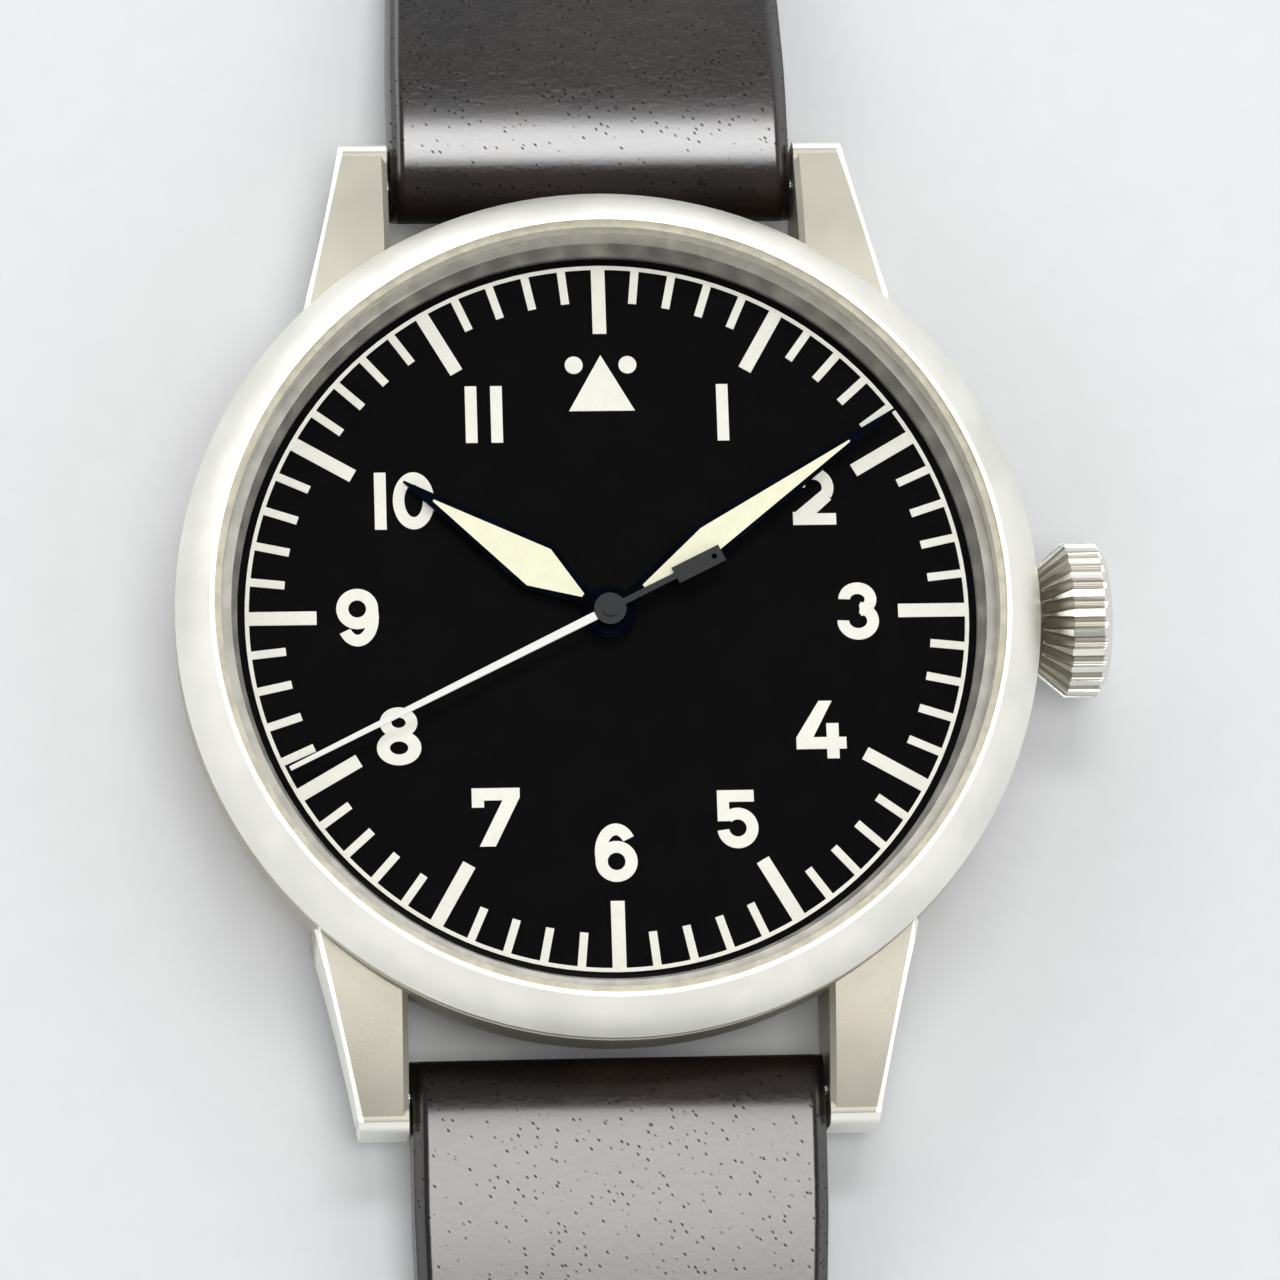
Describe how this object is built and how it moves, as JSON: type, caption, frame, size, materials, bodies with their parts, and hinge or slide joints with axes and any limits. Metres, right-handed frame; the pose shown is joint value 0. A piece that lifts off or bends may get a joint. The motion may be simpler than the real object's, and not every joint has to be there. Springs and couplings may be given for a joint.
{
  "type": "pilot wristwatch",
  "caption": "Round matte-steel pilot wristwatch with a black dial, upright numerals, sword hands, fluted conical crown and a leather strap lying open with its pin buckle.",
  "frame": {"origin": "centre of the flat case back, on the face that the watch rests on", "axes": "+Z from the case back to the crystal, +Y from the dial's centre to twelve o'clock along the open strap, +X to the crown"},
  "size_m": [0.0459, 0.2479, 0.0107],
  "materials": {
    "case_steel": "bead-blasted, matte",
    "inner_steel": "satin",
    "rehaut_steel": "polished",
    "gasket_pale": "moulded, translucent",
    "crystal_glass": "polished, clear",
    "gasket_rubber": "matte",
    "dial_black": "matte black",
    "print_white": "printed, matte",
    "hand_cream": "luminous filling, matte",
    "hand_blue": "blued, glossy",
    "seconds_white": "white with a dark tail",
    "plate_nickel": "nickel-plated, brushed",
    "wheel_brass": "gilt",
    "part_steel": "polished",
    "blued_steel": "blued",
    "jewel_ruby": "polished",
    "strap_leather": "dark brown, waxed, pore-grained"
  },
  "bodies": {
    "case": {"case_middle": "case_steel", "bezel": "case_steel", "crystal": "crystal_glass", "crystal_gasket": "gasket_pale", "rehaut_ring": "rehaut_steel", "case_back": "case_steel", "back_crystal": "crystal_glass", "case_back_gasket": "gasket_rubber", "crown_tube": "inner_steel", "dial_plate": "dial_black", "dial_markings": "print_white", "dial_numerals": "print_white", "movement_ring": "inner_steel", "main_plate": "plate_nickel", "barrel_bridge": "plate_nickel", "train_bridge": "plate_nickel", "balance_cock": "plate_nickel", "pallet_bridge": "plate_nickel", "movement_screws": "blued_steel", "jewels": "jewel_ruby", "spring_bar_tubes": "part_steel", "spring_bar_springs": "part_steel"},
    "crown_seal": {"crown_gasket": "gasket_rubber"},
    "crown": {"crown": "case_steel", "winding_stem": "part_steel"},
    "yoke": {"setting_yoke": "part_steel"},
    "clutch": {"sliding_pinion": "part_steel"},
    "lever": {"setting_lever": "part_steel"},
    "winding_pinion": {"winding_pinion": "part_steel"},
    "crown_wheel": {"crown_wheel": "part_steel"},
    "ratchet": {"ratchet_wheel": "part_steel", "barrel_arbor": "part_steel"},
    "click": {"click": "part_steel"},
    "barrel": {"barrel_drum": "wheel_brass", "mainspring": "part_steel"},
    "minutes": {"centre_wheel": "wheel_brass", "cannon_pinion": "part_steel", "minute_hand": "hand_blue", "minute_hand_lume": "hand_cream"},
    "third": {"third_wheel": "wheel_brass"},
    "seconds": {"fourth_wheel": "wheel_brass", "seconds_hand": "seconds_white"},
    "escape": {"escape_wheel": "part_steel"},
    "pallets": {"pallet_fork": "part_steel"},
    "balance": {"balance_wheel": "wheel_brass", "hairspring": "blued_steel"},
    "minute_wheel": {"minute_wheel": "wheel_brass"},
    "setting_wheel": {"setting_wheel": "wheel_brass"},
    "hours": {"hour_wheel": "wheel_brass", "hour_hand": "hand_blue", "hour_hand_lume": "hand_cream"},
    "pins_left": {"spring_bar_pins_left": "part_steel"},
    "pins_right": {"spring_bar_pins_right": "part_steel"},
    "buckle_strap": {"strap_buckle_half": "strap_leather", "fixed_keeper": "strap_leather", "buckle_bar": "case_steel"},
    "hole_strap": {"strap_hole_half": "strap_leather"},
    "buckle": {"buckle_frame": "case_steel"},
    "tongue": {"buckle_tongue": "case_steel"},
    "keeper": {"sliding_keeper": "strap_leather"}
  },
  "joints": [
    {"name": "crown_pull", "type": "slide", "parent": "case", "child": "crown_seal", "axis": [1, 0, 0], "range_m": [0, 0.001]},
    {"name": "crown_turn", "type": "hinge", "parent": "crown_seal", "child": "crown", "pos_m": [0, 0, 0.0047], "axis": [1, 0, 0], "continuous": true},
    {"name": "clutch_shift", "type": "slide", "parent": "case", "child": "yoke", "axis": [-1, 0, 0], "range_m": [0, 0.0005]},
    {"name": "clutch_turn", "type": "hinge", "parent": "yoke", "child": "clutch", "pos_m": [0, 0, 0.0047], "axis": [1, 0, 0], "continuous": true},
    {"name": "lever_turn", "type": "hinge", "parent": "case", "child": "lever", "pos_m": [0.011, -0.0032, 0.0055], "axis": [0, 0, 1], "range_deg": [-18.5, 0]},
    {"name": "winding_pinion_turn", "type": "hinge", "parent": "case", "child": "winding_pinion", "pos_m": [0, 0, 0.0047], "axis": [1, 0, 0], "continuous": true},
    {"name": "crown_wheel_turn", "type": "hinge", "parent": "case", "child": "crown_wheel", "pos_m": [0.0082, 0.002, 0.0035], "axis": [0, 0, 1], "continuous": true},
    {"name": "ratchet_turn", "type": "hinge", "parent": "case", "child": "ratchet", "pos_m": [0.00303, 0.00504, 0.0035], "axis": [0, 0, 1], "continuous": true},
    {"name": "click_lift", "type": "hinge", "parent": "case", "child": "click", "pos_m": [-0.00139, 0.00739, 0.0032], "axis": [0, 0, 1], "range_deg": [0, 10], "stiffness_Nm_per_rad": 0.00002},
    {"name": "seconds_turn", "type": "hinge", "parent": "case", "child": "seconds", "pos_m": [0, 0, 0.0035], "axis": [0, 0, -1], "continuous": true},
    {"name": "minutes_turn", "type": "hinge", "parent": "case", "child": "minutes", "pos_m": [0, 0, 0.0035], "axis": [0, 0, -1], "continuous": true},
    {"name": "hours_turn", "type": "hinge", "parent": "case", "child": "hours", "pos_m": [0, 0, 0.0035], "axis": [0, 0, -1], "continuous": true},
    {"name": "third_turn", "type": "hinge", "parent": "case", "child": "third", "pos_m": [0.00116, -0.00435, 0.0035], "axis": [0, 0, -1], "continuous": true},
    {"name": "barrel_turn", "type": "hinge", "parent": "case", "child": "barrel", "pos_m": [0.00303, 0.00504, 0.0035], "axis": [0, 0, -1], "continuous": true},
    {"name": "escape_turn", "type": "hinge", "parent": "case", "child": "escape", "pos_m": [-0.00419, -0.00152, 0.0035], "axis": [0, 0, -1], "continuous": true},
    {"name": "minute_wheel_turn", "type": "hinge", "parent": "case", "child": "minute_wheel", "pos_m": [0.00226, -0.00082, 0.0035], "axis": [0, 0, -1], "continuous": true},
    {"name": "setting_wheel_turn", "type": "hinge", "parent": "case", "child": "setting_wheel", "pos_m": [0.00491, -0.00035, 0.0035], "axis": [0, 0, -1], "continuous": true},
    {"name": "pallet_rock", "type": "hinge", "parent": "case", "child": "pallets", "pos_m": [-0.0063, -0.00209, 0.0045], "axis": [0, 0, -1], "range_deg": [-3.5, 3.5]},
    {"name": "balance_swing", "type": "hinge", "parent": "case", "child": "balance", "pos_m": [-0.00844, -0.00266, 0.0035], "axis": [0, 0, -1], "range_deg": [-150, 150], "stiffness_Nm_per_rad": 0.000002},
    {"name": "pins_left_press", "type": "slide", "parent": "case", "child": "pins_left", "axis": [1, 0, 0], "range_m": [0, 0.0012], "stiffness_N_per_m": 500},
    {"name": "pins_right_press", "type": "slide", "parent": "case", "child": "pins_right", "axis": [-1, 0, 0], "range_m": [0, 0.0012], "stiffness_N_per_m": 500},
    {"name": "buckle_strap_swing", "type": "hinge", "parent": "case", "child": "buckle_strap", "pos_m": [0, 0.0229, 0.0034], "axis": [1, 0, 0], "range_deg": [-85, 40]},
    {"name": "hole_strap_swing", "type": "hinge", "parent": "case", "child": "hole_strap", "pos_m": [0, -0.0229, 0.0034], "axis": [-1, 0, 0], "range_deg": [-85, 40]},
    {"name": "buckle_turn", "type": "hinge", "parent": "buckle_strap", "child": "buckle", "pos_m": [0, 0.0989, 0.00285], "axis": [1, 0, 0], "range_deg": [-30, 45]},
    {"name": "tongue_lift", "type": "hinge", "parent": "buckle", "child": "tongue", "pos_m": [0, 0.0989, 0.00285], "axis": [1, 0, 0], "range_deg": [0, 85]},
    {"name": "keeper_slide", "type": "slide", "parent": "buckle_strap", "child": "keeper", "axis": [0, 1, 0], "range_m": [-0.018, 0.0025]}
  ],
  "couplings": [
    {"joint": "clutch_shift", "follows": "crown_pull", "ratio": 0.5},
    {"joint": "lever_turn", "follows": "crown_pull", "rad_per_m": -317.8},
    {"joint": "clutch_turn", "follows": "crown_turn", "ratio": 1},
    {"joint": "winding_pinion_turn", "follows": "crown_turn", "ratio": 1},
    {"joint": "crown_wheel_turn", "follows": "crown_turn", "ratio": 0.5},
    {"joint": "ratchet_turn", "follows": "crown_turn", "ratio": -0.33333},
    {"joint": "minutes_turn", "follows": "seconds_turn", "ratio": 0.016667},
    {"joint": "hours_turn", "follows": "seconds_turn", "ratio": 0.0013889},
    {"joint": "third_turn", "follows": "seconds_turn", "ratio": -0.13333},
    {"joint": "barrel_turn", "follows": "seconds_turn", "ratio": -0.0027778},
    {"joint": "escape_turn", "follows": "seconds_turn", "ratio": -10},
    {"joint": "minute_wheel_turn", "follows": "seconds_turn", "ratio": -0.0055556},
    {"joint": "setting_wheel_turn", "follows": "seconds_turn", "ratio": 0.011111}
  ]
}
